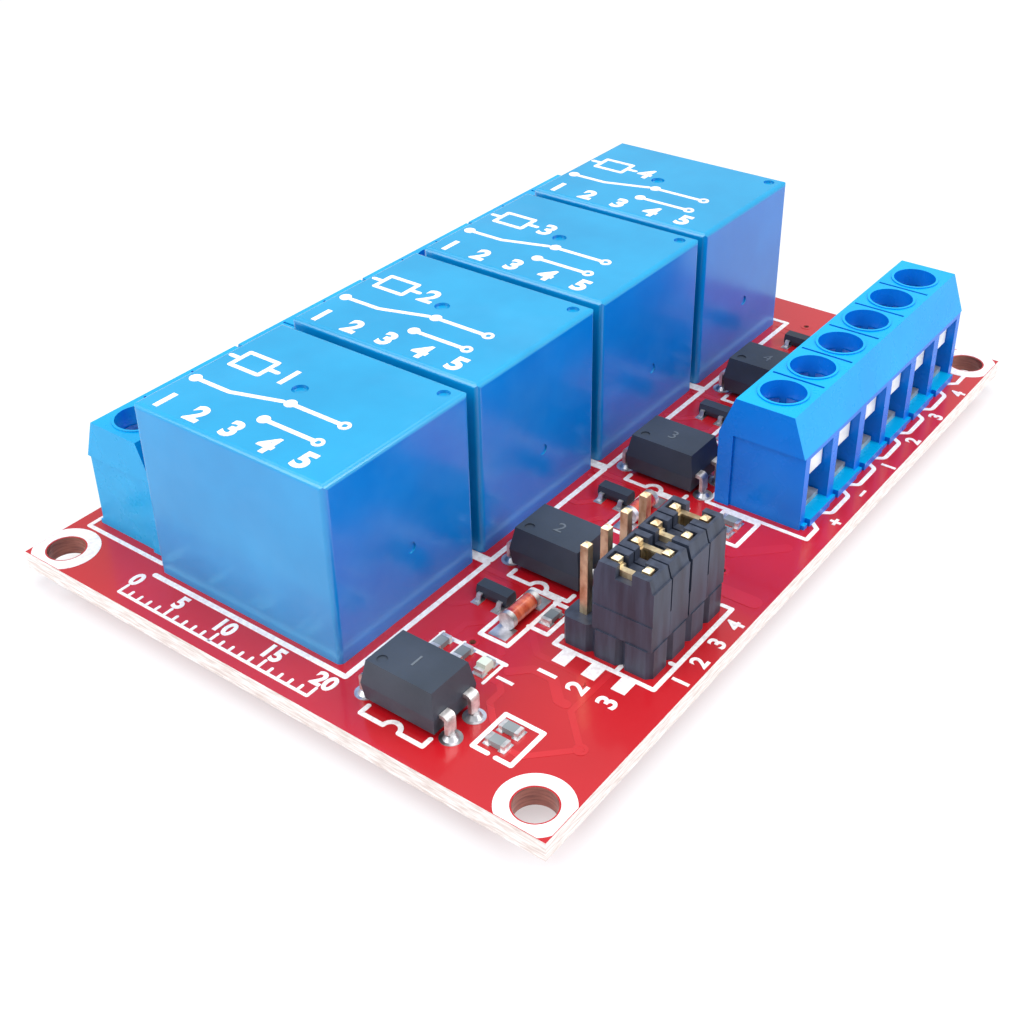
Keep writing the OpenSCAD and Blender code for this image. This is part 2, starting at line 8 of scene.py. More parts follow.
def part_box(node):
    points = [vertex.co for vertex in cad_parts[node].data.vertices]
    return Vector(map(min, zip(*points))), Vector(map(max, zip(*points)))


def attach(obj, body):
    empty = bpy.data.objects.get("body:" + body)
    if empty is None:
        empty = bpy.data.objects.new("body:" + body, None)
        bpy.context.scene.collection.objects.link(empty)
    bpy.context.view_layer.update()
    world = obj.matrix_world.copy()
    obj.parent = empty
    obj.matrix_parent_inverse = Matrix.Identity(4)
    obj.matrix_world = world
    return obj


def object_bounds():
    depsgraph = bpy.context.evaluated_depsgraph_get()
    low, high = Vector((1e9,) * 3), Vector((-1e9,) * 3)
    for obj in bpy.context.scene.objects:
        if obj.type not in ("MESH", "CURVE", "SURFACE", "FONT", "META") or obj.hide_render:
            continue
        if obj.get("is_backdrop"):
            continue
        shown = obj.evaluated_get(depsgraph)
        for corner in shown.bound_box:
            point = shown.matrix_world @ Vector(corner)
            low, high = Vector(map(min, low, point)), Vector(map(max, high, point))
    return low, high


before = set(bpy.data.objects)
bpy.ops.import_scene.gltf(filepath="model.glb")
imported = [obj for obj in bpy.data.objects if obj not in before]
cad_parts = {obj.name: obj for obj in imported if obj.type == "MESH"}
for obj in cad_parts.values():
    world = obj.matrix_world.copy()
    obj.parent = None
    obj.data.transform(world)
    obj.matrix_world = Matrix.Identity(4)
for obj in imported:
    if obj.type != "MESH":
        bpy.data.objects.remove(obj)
cad_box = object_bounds()
mm = 0.001
channels = range(1, 5)

# ---- camera: a normal lens above the board's left front corner, looking along the relay row. The
# picture plane is shifted down a little, which keeps the cases upright.

camera = bpy.data.objects.new("camera", bpy.data.cameras.new("camera"))
bpy.context.collection.objects.link(camera)
camera.location = Vector((-87.06, -61.86, 70.97)) * mm
camera.rotation_euler = (radians(58.27), radians(0.93), radians(-53.02))
camera.data.lens = 50.18
camera.data.shift_y = -0.08
camera.data.clip_start = 0.005
bpy.context.scene.camera = camera
bpy.context.scene.view_settings.view_transform = "Standard"


# ---- studio: a glossy white table under the board and three soft lamps. The table and the sky show
# white to the camera and in reflections. The table keeps the board's faint shadow and fades to plain
# white further out.

def new_material(name):
    material = bpy.data.materials.new(name)
    material.use_nodes = True
    nodes, links = material.node_tree.nodes, material.node_tree.links
    return material, nodes, links, nodes["Principled BSDF"]


def srgb(red, green, blue):
    def linear(level):
        level /= 255
        return level / 12.92 if level <= 0.04045 else ((level + 0.055) / 1.055) ** 2.4
    return (linear(red), linear(green), linear(blue), 1)


def share_of_white(nodes, links, camera_share, glossy_share):
    """How far a surface glows white: for the camera and in reflections. A share is a number or a socket."""
    ray = nodes.new("ShaderNodeLightPath")
    shares = []
    for output, share in (("Is Camera Ray", camera_share), ("Is Glossy Ray", glossy_share)):
        part = nodes.new("ShaderNodeMath")
        part.operation = "MULTIPLY"
        if isinstance(share, (int, float)):
            part.inputs[1].default_value = share
        else:
            links.new(share, part.inputs[1])
        links.new(ray.outputs[output], part.inputs[0])
        shares.append(part.outputs[0])
    larger = nodes.new("ShaderNodeMath")
    larger.operation = "MAXIMUM"
    links.new(shares[0], larger.inputs[0])
    links.new(shares[1], larger.inputs[1])
    return larger.outputs[0]


table_size, table_drop = 2.5, 0.02 * mm
fade_start, fade_end, near_share = 0.08, 0.4, 0.5


def table():
    material, nodes, links, shader = new_material("white table")
    shader.inputs["Base Color"].default_value = srgb(244, 244, 246)
    shader.inputs["Roughness"].default_value = 0.14
    shader.inputs["IOR"].default_value = 1.8
    glow, mix = nodes.new("ShaderNodeEmission"), nodes.new("ShaderNodeMixShader")
    place, distance = nodes.new("ShaderNodeTexCoord"), nodes.new("ShaderNodeVectorMath")
    distance.operation = "LENGTH"
    links.new(place.outputs["Object"], distance.inputs[0])
    fade = nodes.new("ShaderNodeMapRange")
    fade.inputs["From Min"].default_value = fade_start
    fade.inputs["From Max"].default_value = fade_end
    fade.inputs["To Min"].default_value = near_share
    links.new(distance.outputs["Value"], fade.inputs["Value"])
    links.new(share_of_white(nodes, links, fade.outputs[0], 1), mix.inputs[0])
    links.new(shader.outputs[0], mix.inputs[1])
    links.new(glow.outputs[0], mix.inputs[2])
    links.new(mix.outputs[0], nodes["Material Output"].inputs[0])
    bm = bmesh.new()
    bmesh.ops.create_grid(bm, x_segments=1, y_segments=1, size=table_size,
                          matrix=Matrix.Translation((0, 0, -table_drop)))
    mesh = bpy.data.meshes.new("table")
    bm.to_mesh(mesh)
    bm.free()
    mesh.materials.append(material)
    piece = bpy.data.objects.new("table", mesh)
    bpy.context.collection.objects.link(piece)
    piece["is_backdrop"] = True


def lamp(name, place, size, power, target=(0, 0, 0.008)):
    data = bpy.data.lights.new(name, "AREA")
    data.size = size
    data.energy = power
    lamp_object = bpy.data.objects.new(name, data)
    lamp_object.location = place
    lamp_object.rotation_euler = (Vector(target) - Vector(place)).to_track_quat("-Z", "Y").to_euler()
    bpy.context.collection.objects.link(lamp_object)


table()
lamp("window", (-0.27, 0.12, 0.20), 0.26, 0.7)
lamp("overhead", (-0.04, -0.04, 0.55), 0.80, 3.5)
lamp("right front", (0.16, -0.42, 0.30), 0.32, 1.7)

world = bpy.data.worlds.new("studio")
bpy.context.scene.world = world
world.use_nodes = True
sky, sky_links = world.node_tree.nodes, world.node_tree.links
ambient, backdrop = sky["Background"], sky.new("ShaderNodeBackground")
ambient.inputs["Color"].default_value = (0.86, 0.93, 1, 1)
ambient.inputs["Strength"].default_value = 0.5
backdrop.inputs["Color"].default_value = (1, 1, 1, 1)
backdrop.inputs["Strength"].default_value = 1
which = sky.new("ShaderNodeMixShader")
sky_links.new(share_of_white(sky, sky_links, 1, 0.3), which.inputs[0])
sky_links.new(ambient.outputs[0], which.inputs[1])
sky_links.new(backdrop.outputs[0], which.inputs[2])
sky_links.new(which.outputs[0], sky["World Output"].inputs[0])


# ---- board: glass-fibre laminate under a glossy red solder mask on both faces. It is sawn to size,
# so its edges show the pale laminate; the drilled holes' walls, the same laminate, take a darker
# red-brown as painted shade.

def paint(node, material):
    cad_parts[node].data.materials.clear()
    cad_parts[node].data.materials.append(material)


def add_noise(nodes, links, scale, detail=3, roughness=0.55, stretch=(1, 1, 1)):
    """Noise on object coordinates; scale counts lumps in a metre."""
    place = nodes.new("ShaderNodeTexCoord")
    mapping = nodes.new("ShaderNodeMapping")
    mapping.inputs["Scale"].default_value = stretch
    noise = nodes.new("ShaderNodeTexNoise")
    noise.inputs["Scale"].default_value = scale
    noise.inputs["Detail"].default_value = detail
    noise.inputs["Roughness"].default_value = roughness
    links.new(place.outputs["Object"], mapping.inputs["Vector"])
    links.new(mapping.outputs[0], noise.inputs["Vector"])
    return noise.outputs[0]


def blend_colours(nodes, links, driver, low, high, start=0.35, end=0.65):
    ramp = nodes.new("ShaderNodeValToRGB")
    ramp.color_ramp.elements[0].color = low
    ramp.color_ramp.elements[0].position = start
    ramp.color_ramp.elements[1].color = high
    ramp.color_ramp.elements[1].position = end
    links.new(driver, ramp.inputs[0])
    return ramp.outputs[0]


def add_bump(nodes, links, height, shader, strength, distance):
    bump = nodes.new("ShaderNodeBump")
    bump.inputs["Strength"].default_value = strength
    bump.inputs["Distance"].default_value = distance
    links.new(height, bump.inputs["Height"])
    links.new(bump.outputs[0], shader.inputs["Normal"])


def add_roughness(nodes, links, driver, shader, low, high):
    spread = nodes.new("ShaderNodeMapRange")
    spread.inputs["To Min"].default_value = low
    spread.inputs["To Max"].default_value = high
    links.new(driver, spread.inputs["Value"])
    links.new(spread.outputs[0], shader.inputs["Roughness"])


def calculate(nodes, links, operation, value, other=0):
    sum_node = nodes.new("ShaderNodeMath")
    sum_node.operation = operation
    links.new(value, sum_node.inputs[0])
    if isinstance(other, (int, float)):
        sum_node.inputs[1].default_value = other
    else:
        links.new(other, sum_node.inputs[1])
    return sum_node.outputs[0]


def mix_colours(nodes, links, choice, first, second):
    mix = nodes.new("ShaderNodeMix")
    mix.data_type = "RGBA"
    links.new(choice, mix.inputs["Factor"])
    for value, socket in ((first, mix.inputs[6]), (second, mix.inputs[7])):
        if isinstance(value, tuple):
            socket.default_value = value
        else:
            links.new(value, socket)
    return mix.outputs[2]


def place_and_facing(nodes, links):
    """Object position and normal, each split into X, Y and Z."""
    source = nodes.new("ShaderNodeTexCoord")
    parts = nodes.new("ShaderNodeSeparateXYZ"), nodes.new("ShaderNodeSeparateXYZ")
    links.new(source.outputs["Object"], parts[0].inputs[0])
    links.new(source.outputs["Normal"], parts[1].inputs[0])
    return parts[0].outputs, parts[1].outputs


board_low, board_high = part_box("pcb")
deck = board_high.z
edge_skin = 0.02 * mm


def board_material():
    material, nodes, links, shader = new_material("red board")
    shader.inputs["Coat Weight"].default_value = 0.5
    shader.inputs["Coat Roughness"].default_value = 0.1
    mask = blend_colours(nodes, links, add_noise(nodes, links, 45), srgb(176, 16, 26), srgb(190, 24, 34))
    fibre = add_noise(nodes, links, 2000, detail=5, stretch=(0.35, 0.35, 3))
    edge = blend_colours(nodes, links, fibre, srgb(206, 188, 180), srgb(242, 236, 232))
    # The hole walls are the edge's pale laminate coloured a darker red-brown: painted shade in the holes.
    hole_wall_shade = blend_colours(nodes, links, fibre, srgb(120, 60, 52), srgb(158, 92, 76))
    spot, facing = place_and_facing(nodes, links)
    at_end = [calculate(nodes, links, "GREATER_THAN", calculate(nodes, links, "ABSOLUTE", spot[axis]), limit)
              for axis, limit in (("X", board_high.x - edge_skin), ("Y", board_high.y - edge_skin))]
    outer = calculate(nodes, links, "MAXIMUM", *at_end)
    flat = calculate(nodes, links, "GREATER_THAN", calculate(nodes, links, "ABSOLUTE", facing["Z"]), 0.5)
    sawn = mix_colours(nodes, links, outer, hole_wall_shade, edge)
    links.new(mix_colours(nodes, links, flat, sawn, mask), shader.inputs["Base Color"])
    add_roughness(nodes, links, flat, shader, 0.85, 0.26)
    add_bump(nodes, links, add_noise(nodes, links, 2600), shader, 0.05, 0.00002)
    return material


paint("pcb", board_material())


# ---- tracks: copper strips etched on the laminate. The mask covers them, so they show as flat
# ridges in a slightly lighter red, with a small ring round each via.

layer_step = 0.0012 * mm
layers = cycle(layer_step * step for step in range(11))


def bar(bm, start, end, width, thickness, z):
    """Flat bar with round ends. Neighbours differ by a hair in height, so no two faces coincide."""
    height = thickness + next(layers)
    cap_height = height - layer_step / 2
    (x0, y0), (x1, y1) = start, end
    middle = Matrix.Translation(((x0 + x1) / 2, (y0 + y1) / 2, z + height / 2))
    turn = Matrix.Rotation(atan2(y1 - y0, x1 - x0), 4, "Z")
    size = Matrix.Diagonal((hypot(x1 - x0, y1 - y0), width, height, 1))
    bmesh.ops.create_cube(bm, size=1, matrix=middle @ turn @ size)
    for x, y in (start, end):
        bmesh.ops.create_cone(bm, cap_ends=True, segments=16, radius1=width / 2, radius2=width / 2,
                              depth=cap_height, matrix=Matrix.Translation((x, y, z + cap_height / 2)))


def path(bm, points, width, thickness, z=deck, closed=False):
    points = list(points)
    for start, end in zip(points, points[1:] + points[:1] if closed else points[1:]):
        bar(bm, start, end, width, thickness, z)


def ring(bm, centre, inner, outer, height, z=deck, segments=64):
    """Flat ring: an inner and an outer circle bridged, then drawn up to its height."""
    loops = []
    for radius in (inner, outer):
        made = bmesh.ops.create_circle(bm, segments=segments, radius=radius,
                                       matrix=Matrix.Translation((centre[0], centre[1], z)))
        loops += dict.fromkeys(edge for vert in made["verts"] for edge in vert.link_edges)
    faces = bmesh.ops.bridge_loops(bm, edges=loops)["faces"]
    raised = bmesh.ops.extrude_face_region(bm, geom=faces)["geom"]
    verts = [part for part in raised if isinstance(part, bmesh.types.BMVert)]
    bmesh.ops.translate(bm, vec=(0, 0, height), verts=verts)


def finish_mesh(name, bm, material):
    bmesh.ops.recalc_face_normals(bm, faces=bm.faces)
    mesh = bpy.data.meshes.new(name)
    bm.to_mesh(mesh)
    bm.free()
    mesh.materials.append(material)
    piece = bpy.data.objects.new(name, mesh)
    bpy.context.collection.objects.link(piece)
    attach(piece, "root")
    return piece


def groups_of(verts, neighbours):
    """Positions of the connected vertices, one list a group."""
    seen = set()
    for vert in verts:
        if vert in seen:
            continue
        group, todo = [], [vert]
        seen.add(vert)
        while todo:
            here = todo.pop()
            group.append(here.co.copy())
            for other in neighbours(here):
                if other not in seen:
                    seen.add(other)
                    todo.append(other)
        yield group


def merged(node):
    bm = bmesh.new()
    bm.from_mesh(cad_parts[node].data)
    bmesh.ops.remove_doubles(bm, verts=bm.verts, dist=1e-7)
    return bm


def middle_and_half(points):
    low = Vector(min(p[k] for p in points) for k in range(3))
    high = Vector(max(p[k] for p in points) for k in range(3))
    return (low + high) / 2, (high - low) / 2


def board_holes():
    """Middle and radius of every hole, read from the edges round the deck."""
    bm = merged("pcb")
    rims = {}
    for edge in bm.edges:
        on_deck = all(abs(vert.co.z - deck) < 1e-6 for vert in edge.verts)
        if on_deck and min(abs(face.normal.z) for face in edge.link_faces) < 0.5:
            for vert in edge.verts:
                rims.setdefault(vert, []).append(edge.other_vert(vert))
    found = [middle_and_half(group) for group in groups_of(rims, lambda vert: rims[vert])]
    bm.free()
    # The board's own rim is in the list too, and is far larger than any hole.
    return [(middle, half.x) for middle, half in found if half.x < 0.1 * board_high.x]


def track_material():
    material, nodes, links, shader = new_material("mask over copper")
    shader.inputs["Coat Weight"].default_value = 0.5
    shader.inputs["Coat Roughness"].default_value = 0.1
    cloud = add_noise(nodes, links, 60)
    links.new(blend_colours(nodes, links, cloud, srgb(184, 24, 34), srgb(198, 34, 42)),
              shader.inputs["Base Color"])
    add_roughness(nodes, links, cloud, shader, 0.2, 0.34)
    return material


# Routes are in millimetres: those of the first channel, repeated for each, then the single ones.
track_t = 0.012 * mm
via_r, via_rim, via_lift = 0.3 * mm, 0.3 * mm, 0.02 * mm
channel_pitch, channel_width = 16.5, 0.55
holes = board_holes()
bm = bmesh.new()
routes = (
    ((-19.1, -8.6), (-18.5, -8.0), (-18.5, -4.9)),
    ((-21.2, -7.7), (-22.6, -6.3), (-22.6, -4.9)),
    ((-21.2, -9.6), (-22.9, -9.6), (-23.9, -8.6), (-26.1, -8.6)),
    ((-19.4, -11.4), (-17.6, -9.6), (-17.6, -4.9)),
    ((-22.3, -11.4), (-23.6, -11.4), (-25.0, -12.8), (-26.3, -12.8)),
    ((-20.3, -13.4), (-22.0, -13.4), (-23.5, -14.9), (-23.5, -16.6)),
)
for channel in range(4):
    for route in routes:
        path(bm, [((x + channel * channel_pitch) * mm, y * mm) for x, y in route],
             channel_width * mm, track_t)
for width, route in (
    (0.5, ((-29.6, -22.9), (-27.0, -20.3), (-22.3, -20.3))),
    (0.5, ((-23.5, -16.6), (-23.5, -18.5), (-24.3, -19.3))),
    (0.5, ((-30.9, -17.4), (-30.9, -16.6), (-29.5, -15.2), (-28.2, -15.2), (-27.6, -14.6), (-27.6, -13.3))),
    (0.5, ((-32.4, -19.0), (-32.4, -20.1), (-29.6, -22.9))),
    (0.8, ((-26.2, -14.4), (-25.0, -15.6), (-25.0, -17.4), (-26.6, -19.0), (-26.6, -19.6))),
    (1.4, ((-9.2, -15.4), (-9.2, -24.6))),
    (1.0, ((-4.8, -16.4), (-4.8, -20.2), (-1.6, -23.4))),
):
    path(bm, [(x * mm, y * mm) for x, y in route], width * mm, track_t)
for middle, radius in holes:
    if radius < via_r:
        ring(bm, middle, radius + via_lift, radius + via_rim, track_t + via_lift, segments=24)
finish_mesh("tracks", bm, track_material())


# ---- printed lines: white legend ink screened on the mask. Every line is a thin flat bar with round
# ends, a ring or an arc, and the corner rings are trimmed where they would pass the board's edge.

ink_t = 0.024 * mm
line_w = 0.38 * mm


def arc(centre, radius, start, end, steps=10):
    angles = [radians(start + (end - start) * step / steps) for step in range(steps + 1)]
    return [(centre[0] + radius * cos(a), centre[1] + radius * sin(a)) for a in angles]


def rectangle(bm, centre, half_x, half_y):
    corners = (-1, -1), (1, -1), (1, 1), (-1, 1)
    path(bm, [(centre.x + sx * half_x, centre.y + sy * half_y) for sx, sy in corners], line_w, ink_t,
         closed=True)


def block(bm, centre, size, height):
    """Flat block on the deck."""
    place = Matrix.Translation((centre[0], centre[1], deck + height / 2))
    bmesh.ops.create_cube(bm, size=1, matrix=place @ Matrix.Diagonal((size[0], size[1], height, 1)))


def ink_material():
    material, nodes, links, shader = new_material("legend ink")
    speck = add_noise(nodes, links, 3000)
    links.new(blend_colours(nodes, links, speck, srgb(226, 216, 216), srgb(246, 244, 244)),
              shader.inputs["Base Color"])
    add_roughness(nodes, links, speck, shader, 0.4, 0.6)
    return material


ink = ink_material()
corner_hole_r, ring_gap, ring_out = 1 * mm, 0.12 * mm, 2.75 * mm
edge_margin = 0.05 * mm
bm = bmesh.new()
for middle, radius in holes:
    if radius > corner_hole_r:
        ring(bm, middle, radius + ring_gap, ring_out, ink_t)
for axis in range(2):
    for sign in (-1, 1):
        point, normal = Vector((0, 0, 0)), Vector((0, 0, 0))
        point[axis] = sign * (board_high[axis] - edge_margin)
        normal[axis] = sign
        cut = bmesh.ops.bisect_plane(bm, geom=bm.verts[:] + bm.edges[:] + bm.faces[:], plane_co=point,
                                     plane_no=normal, clear_outer=True)
        rim = [e for e in cut["geom_cut"] if isinstance(e, bmesh.types.BMEdge)]
        bmesh.ops.holes_fill(bm, edges=rim)
finish_mesh("hole_rings", bm, ink)

# Relays: a box round each, wider at the row's ends and in front; terminals: lines at sides and back.
bm = bmesh.new()
relay_line = 0.46 * mm
gap_margin, end_margin, front_margin = 0.27 * mm, 0.65 * mm, 1.05 * mm
terminal_front, terminal_back = 0.5 * mm, 0.35 * mm
for i in channels:
    low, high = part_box(f"relay_case_{i}")
    left = low.x - (end_margin if i == 1 else gap_margin)
    right = high.x + (end_margin if i == 4 else gap_margin)
    path(bm, [(left, high.y), (left, low.y - front_margin), (right, low.y - front_margin), (right, high.y)],
         relay_line, ink_t)
    low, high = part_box(f"output_terminal_body_{i}")
    left = low.x - (end_margin if i == 1 else 0)
    right = high.x + (end_margin if i == 4 else 0)
    path(bm, [(left, low.y - terminal_front), (left, high.y + terminal_back),
              (right, high.y + terminal_back), (right, low.y - terminal_front)], line_w, ink_t)
finish_mesh("relay_outlines", bm, ink)

# Input terminal: lines at both ends and the back, and a cup before each wall between two entries.
bm = bmesh.new()
term_low, term_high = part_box("input_terminal_body")
front_y = term_low.y + 0.2 * mm
cup_y = term_low.y - 0.62 * mm
side, back = 0.52 * mm, 0.4 * mm
cup_r, cup_floor, cup_mouth = 0.5 * mm, 1.25 * mm, 2.05 * mm
end_near, end_far = 1.05 * mm, 1.75 * mm
pole = 5.08 * mm
pole_x = [(term_low.x + term_high.x) / 2 + (k - 2.5) * pole for k in range(6)]
path(bm, [(pole_x[0] - end_near, front_y), (pole_x[0] - end_far, cup_y), (term_low.x - side, cup_y),
          (term_low.x - side, term_high.y + back), (term_high.x + side, term_high.y + back),
          (term_high.x + side, cup_y), (pole_x[5] + end_far, cup_y), (pole_x[5] + end_near, front_y)],
     line_w, ink_t)
for x in pole_x[:5]:
    wall_x = x + pole / 2
    path(bm, [(wall_x - cup_mouth, front_y)]
         + arc((wall_x - cup_floor, cup_y + cup_r), cup_r, 200, 270, 4)
         + arc((wall_x + cup_floor, cup_y + cup_r), cup_r, 270, 340, 4)
         + [(wall_x + cup_mouth, front_y)], line_w, ink_t)
finish_mesh("terminal_outline", bm, ink)

# Isolators: a line along the left side with a half-round notch, and short returns at both ends.
bm = bmesh.new()
notch, line_gap, return_gap, right_gap = 0.7 * mm, 0.75 * mm, 0.1 * mm, 0.35 * mm
for i in channels:
    low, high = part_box(f"isolator_{i}")
    x, middle = low.x - line_gap, (low.y + high.y) / 2
    back_y, near_y = high.y - 0.5 * mm, low.y + 0.45 * mm
    path(bm, [(low.x + return_gap, back_y), (x, back_y), (x, middle + notch)]
         + arc((x, middle), notch, 90, -90)[1:-1]
         + [(x, middle - notch), (x, near_y), (low.x + return_gap, near_y)], line_w, ink_t)
    path(bm, [(high.x + right_gap, back_y), (high.x + right_gap, near_y)], line_w, ink_t)
finish_mesh("isolator_outlines", bm, ink)


# ---- small outlines: boxes round the diodes and the loose chips, a line beside each lamp, and the
# jumper block's open box with a tick between rows and a filled tab for each row.

def islands(node):
    """Middle and half size of every separate solid of a node."""
    bm = merged(node)
    found = [middle_and_half(group) for group in
             groups_of(bm.verts, lambda vert: [edge.other_vert(vert) for edge in vert.link_edges])]
    bm.free()
    return found


thin_line = 0.26 * mm
diode_box = 3.25 * mm, 1.25 * mm
pair_box, pair_drop, pair_opening = (1.85 * mm, 1.6 * mm), 0.3 * mm, 0.35 * mm
chip_box, chip_line = (1.7 * mm, 0.85 * mm), (1.2 * mm, 0.75 * mm)
front_chips = -12 * mm
lamp_x, lamp_left, lamp_front, lamp_back, lamp_line = 1.15 * mm, 1.3 * mm, 1.0 * mm, 4.95 * mm, 0.85 * mm

bm = bmesh.new()
for centre, half in islands("diode_glass"):
    rectangle(bm, centre, *diode_box)
pairs = [centre for centre, half in islands("chip_bodies") if half.y > half.x]
singles = [centre for centre, half in islands("chip_bodies") if half.x > half.y]
for lone in pairs[::2]:
    mate = min((other for other in pairs if other != lone), key=lambda other: (other - lone).length)
    x, y = (lone.x + mate.x) / 2, lone.y - pair_drop
    left, right, low_y, high_y = x - pair_box[0], x + pair_box[0], y - pair_box[1], y + pair_box[1]
    path(bm, [(left, y + pair_opening), (left, high_y), (right, high_y), (right, low_y), (left, low_y),
              (left, y - pair_opening)], line_w, ink_t)
for centre in singles:
    if centre.y < front_chips:
        path(bm, [(centre.x + sx * chip_box[0], centre.y + sy * chip_box[1])
                  for sx, sy in ((-1, 1), (-1, -1), (1, -1), (1, 1))], line_w, ink_t)
    else:
        path(bm, [(centre.x + sx * chip_line[0], centre.y + chip_line[1]) for sx in (-1, 1)],
             thin_line, ink_t)
for centre, half in islands("led_bodies"):
    path(bm, [(centre.x + lamp_x, centre.y - lamp_front), (centre.x + lamp_x, centre.y + lamp_back)],
         line_w, ink_t)
    path(bm, [(centre.x - lamp_left, centre.y - lamp_line), (centre.x + lamp_x, centre.y - lamp_line)],
         thin_line, ink_t)
head_low, head_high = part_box("header_base")
left, front = head_low.x - 0.55 * mm, head_low.y - 0.65 * mm
right, back = head_high.x + 0.25 * mm, head_high.y + 0.2 * mm
top_l, end_l, tick_l = 1.1 * mm, 0.85 * mm, 0.9 * mm
tab_l, tab_w, tab_lift = 1.65 * mm, 1.15 * mm, 0.012 * mm
hole_pitch = 2.54 * mm
middle_y = (head_low.y + head_high.y) / 2
middle_x = (head_low.x + head_high.x) / 2
row_y = [middle_y + k * hole_pitch for k in (-1, 0, 1)]
column_x = [middle_x + (k - 1.5) * hole_pitch for k in range(4)]
path(bm, [(left + top_l, back), (left, back), (left, front), (right, front), (right, front + end_l)],
     line_w, ink_t)
path(bm, [(left, middle_y - hole_pitch / 2), (left + tick_l, middle_y - hole_pitch / 2)], line_w, ink_t)
path(bm, [(column_x[0] + hole_pitch / 2, front), (column_x[0] + hole_pitch / 2, front + 0.5 * mm)],
     line_w, ink_t)
for y in row_y:
    block(bm, (left - tab_l / 2, y), (tab_l, tab_w), ink_t + tab_lift)
finish_mesh("part_outlines", bm, ink)


# ---- numerals: plain figures and signs in the same ink, one at each pole, jumper, row and channel,
# and a small rule in millimetres along the left edge.

def numeral(text, place, height, turn=0, z=deck, weight=0.04):
    """Text made a flat mesh, then placed: turn is its reading direction in degrees."""
    curve = bpy.data.curves.new("figure", "FONT")
    curve.body = text
    curve.size = height / 0.7
    curve.extrude = 0.018 * mm
    curve.offset = weight * height
    curve.resolution_u = 4
    text_object = bpy.data.objects.new("figure", curve)
    bpy.context.collection.objects.link(text_object)
    bpy.context.view_layer.update()
    mesh = bpy.data.meshes.new_from_object(text_object)
    bpy.data.objects.remove(text_object)
    centre, half = middle_and_half([vert.co for vert in mesh.vertices])
    mesh.transform(Matrix.Translation((place[0], place[1], z + half.z))
                   @ Matrix.Rotation(radians(turn), 4, "Z") @ Matrix.Translation(-centre))
    return mesh


def join_meshes(name, meshes, material):
    bm = bmesh.new()
    for mesh in meshes:
        bm.from_mesh(mesh)
        bpy.data.meshes.remove(mesh)
    return finish_mesh(name, bm, material)


pole_figure, column_figure, row_figure, small_figure = 1.2 * mm, 1.3 * mm, 1.5 * mm, 1.35 * mm
figures = []
for text, x in zip("+\u20131234", pole_x):
    figures.append(numeral(text, (x, term_low.y - 1.42 * mm), pole_figure, weight=0.05))
for k, x in enumerate(column_x):
    figures.append(numeral(str(k + 1), (x, front - 1.08 * mm), column_figure))
for k, y in enumerate(row_y):
    figures.append(numeral(str(3 - k), (left - tab_l - 1.3 * mm, y), row_figure))
for k, (centre, half) in enumerate(sorted(islands("led_bodies"), key=lambda island: island[0].x)):
    figures.append(numeral(str(k + 1), (centre.x - 0.2 * mm, centre.y - 1.95 * mm), small_figure))
rule_x, rule_top, rule_l = board_low.x + 1.0 * mm, 15.5 * mm, 20
long_tick, short_tick = 0.95 * mm, 0.6 * mm
bm = bmesh.new()
path(bm, [(rule_x, rule_top), (rule_x, rule_top - rule_l * mm)], thin_line, ink_t)
for k in range(rule_l + 1):
    y = rule_top - k * mm
    path(bm, [(rule_x, y), (rule_x + (long_tick if k % 5 == 0 else short_tick), y)], thin_line, ink_t)
    if k % 5 == 0:
        figures.append(numeral(str(k), (rule_x + 1.85 * mm, y), small_figure, -90, weight=0.06))
finish_mesh("rule", bm, ink)
join_meshes("figures", figures, ink)


# ---- metals: bright solder and tinned leads, zinc screws, spring leaves, tinned contacts and gold
# flash. Each is its CAD solid with a grained metal finish.

def metal(name, dark, light, roughness, scale, stretch=(1, 1, 1), strength=0.15, metallic=1.0):
    material, nodes, links, shader = new_material(name)
    shader.inputs["Metallic"].default_value = metallic
    grain = add_noise(nodes, links, scale, stretch=stretch)
    links.new(blend_colours(nodes, links, grain, dark, light), shader.inputs["Base Color"])
    add_roughness(nodes, links, grain, shader, roughness - 0.08, roughness + 0.12)
    add_bump(nodes, links, grain, shader, strength, 0.00005)
    return material


solder = metal("solder", srgb(176, 176, 180), srgb(228, 228, 232), 0.36, 900)
tinned = metal("tinned lead", srgb(176, 172, 170), srgb(236, 232, 230), 0.46, 1300, strength=0.4)
zinc = metal("zinc screw", srgb(120, 148, 178), srgb(190, 208, 224), 0.28, 1200)
leaf = metal("spring leaf", srgb(228, 228, 226), srgb(250, 250, 248), 0.4, 700, metallic=0.2)
contact = metal("contact strip", srgb(170, 166, 158), srgb(214, 210, 202), 0.36, 900, metallic=0.6)
gold = metal("gold flash", srgb(186, 154, 116), srgb(240, 224, 186), 0.36, 1100, (1, 1, 0.6), metallic=0.85)
for node in ("relay_pins", "isolator_leads", "transistor_leads", "chip_ends", "led_ends", "diode_caps"):
    paint(node, tinned)
paint("solder_joints", solder)
for side_name in ("input", "output"):
    paint(f"{side_name}_terminal_screws", zinc)
    paint(f"{side_name}_terminal_leaves", leaf)
    paint(f"{side_name}_terminal_contacts", contact)
paint("header_pins", gold)
for i in channels:
    paint(f"jumper_clip_{i}", gold)


# ---- pads: tinned copper left bare by the mask. There is a ring round every isolator lead and a
# small land under each end of a diode, chip, lamp or transistor.

